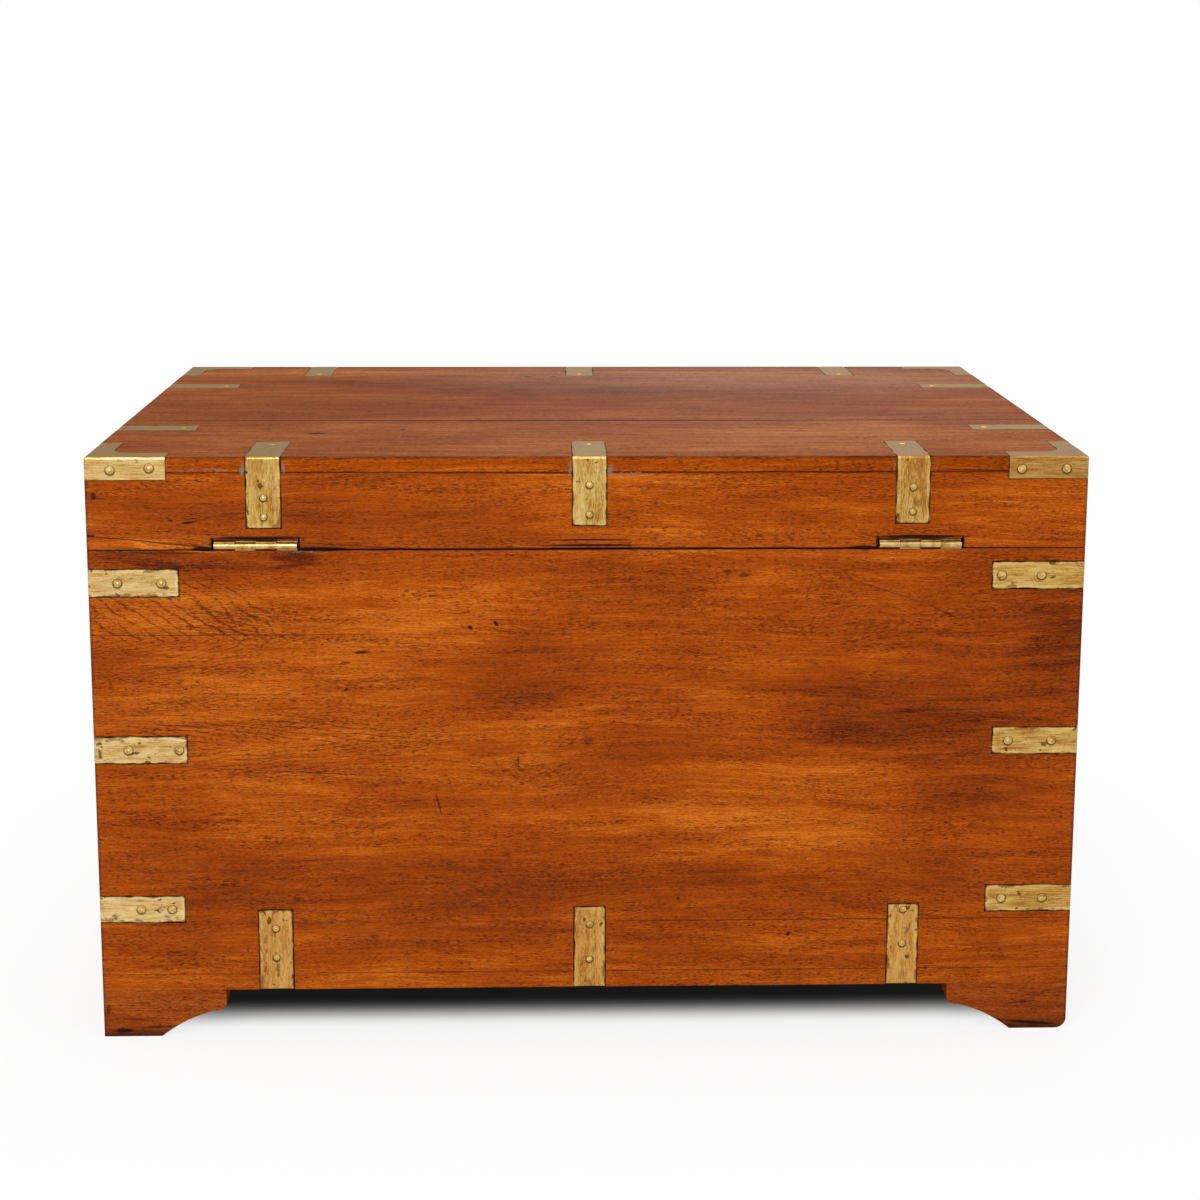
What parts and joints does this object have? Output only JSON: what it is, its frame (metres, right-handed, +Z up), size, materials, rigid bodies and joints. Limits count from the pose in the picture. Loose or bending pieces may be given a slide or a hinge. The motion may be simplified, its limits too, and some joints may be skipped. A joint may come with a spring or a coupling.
{
  "type": "campaign chest",
  "caption": "Low rectangular boarded trunk with a hinged lift-up lid, flush brass corner and edge straps, drop end handles, a box lock and four bracket feet.",
  "frame": {"origin": "on the floor, under the middle of the chest", "axes": "+Z up; -Y is the front with the lock, +Y the back with the hinges; +X is the end with the lid stay, on the left of someone who stands behind the chest"},
  "size_m": [0.955, 0.5936, 0.5606],
  "materials": {
    "polished_teak": "worn french polish, glossy",
    "lid_top_teak": "faded polish, satin",
    "foot_teak": "worn polish",
    "bare_teak": "unpolished, dusty",
    "patch_teak": "satin",
    "brass_strip": "old satin brass, stained at the edges",
    "brass_pins": "filed",
    "brass_screws": "tarnished",
    "brass_hinges": "dark, rubbed bright on the knuckles",
    "cast_brass": "cast, satin",
    "steel": "dull"
  },
  "bodies": {
    "case": {"bottom_board_front": "polished_teak", "bottom_board_rear": "polished_teak", "bottom_straps": "brass_strip", "case_pins": "brass_pins", "case_screws": "brass_screws", "corner_straps_front_left": "brass_strip", "corner_straps_front_right": "brass_strip", "corner_straps_rear_left": "brass_strip", "corner_straps_rear_right": "brass_strip", "foot_front_left_long": "foot_teak", "foot_front_left_short": "foot_teak", "foot_front_right_long": "foot_teak", "foot_front_right_short": "foot_teak", "foot_glue_blocks": "bare_teak", "foot_rear_left_long": "foot_teak", "foot_rear_left_short": "foot_teak", "foot_rear_right_long": "foot_teak", "foot_rear_right_short": "foot_teak", "front_plank_lower": "polished_teak", "front_plank_upper": "polished_teak", "handle_left_plate": "cast_brass", "handle_right_plate": "cast_brass", "handle_screws": "brass_screws", "hinge_left_case_leaf": "brass_hinges", "hinge_pins": "steel", "hinge_right_case_leaf": "brass_hinges", "left_plank_lower": "polished_teak", "left_plank_upper": "polished_teak", "lock_case": "cast_brass", "lock_escutcheon": "cast_brass", "rear_plank_lower": "polished_teak", "rear_plank_middle": "polished_teak", "rear_plank_upper": "polished_teak", "right_plank_lower": "polished_teak", "right_plank_upper": "polished_teak", "stay_case_stud": "cast_brass"},
    "lid": {"hinge_left_lid_leaf": "brass_hinges", "hinge_mortise_patch": "patch_teak", "hinge_right_lid_leaf": "brass_hinges", "lid_corner_front_left": "brass_strip", "lid_corner_front_right": "brass_strip", "lid_corner_rear_left": "brass_strip", "lid_corner_rear_right": "brass_strip", "lid_pins": "brass_pins", "lid_rim_front": "polished_teak", "lid_rim_left": "polished_teak", "lid_rim_rear": "polished_teak", "lid_rim_right": "polished_teak", "lid_screws": "brass_screws", "lid_straps": "brass_strip", "lid_top_board_front": "lid_top_teak", "lid_top_board_rear": "lid_top_teak", "lock_link_plate": "cast_brass", "stay_lid_stud": "cast_brass"},
    "stay_bar": {"stay_bar": "cast_brass"},
    "lock_bolt": {"lock_bolt": "steel"},
    "handle_left": {"handle_left_bail": "cast_brass"},
    "handle_right": {"handle_right_bail": "cast_brass"}
  },
  "joints": [
    {"name": "lid_hinge", "type": "hinge", "parent": "case", "child": "lid", "pos_m": [0, 0.295, 0.477], "axis": [-1, 0, 0], "range_deg": [0, 100]},
    {"name": "stay_pivot", "type": "hinge", "parent": "lid", "child": "stay_bar", "pos_m": [0.4335, 0.09804, 0.51173], "axis": [-1, 0, 0], "range_deg": [-50, 0]},
    {"name": "bolt_slide", "type": "slide", "parent": "case", "child": "lock_bolt", "axis": [1, 0, 0], "range_m": [0, 0.008]},
    {"name": "handle_left_hinge", "type": "hinge", "parent": "case", "child": "handle_left", "pos_m": [0.4695, 0, 0.316], "axis": [0, -1, 0], "range_deg": [0, 90]},
    {"name": "handle_right_hinge", "type": "hinge", "parent": "case", "child": "handle_right", "pos_m": [-0.4695, 0, 0.316], "axis": [0, 1, 0], "range_deg": [0, 90]}
  ],
  "couplings": [
    {"joint": "stay_pivot", "follows": "lid_hinge", "ratio": -0.5}
  ]
}
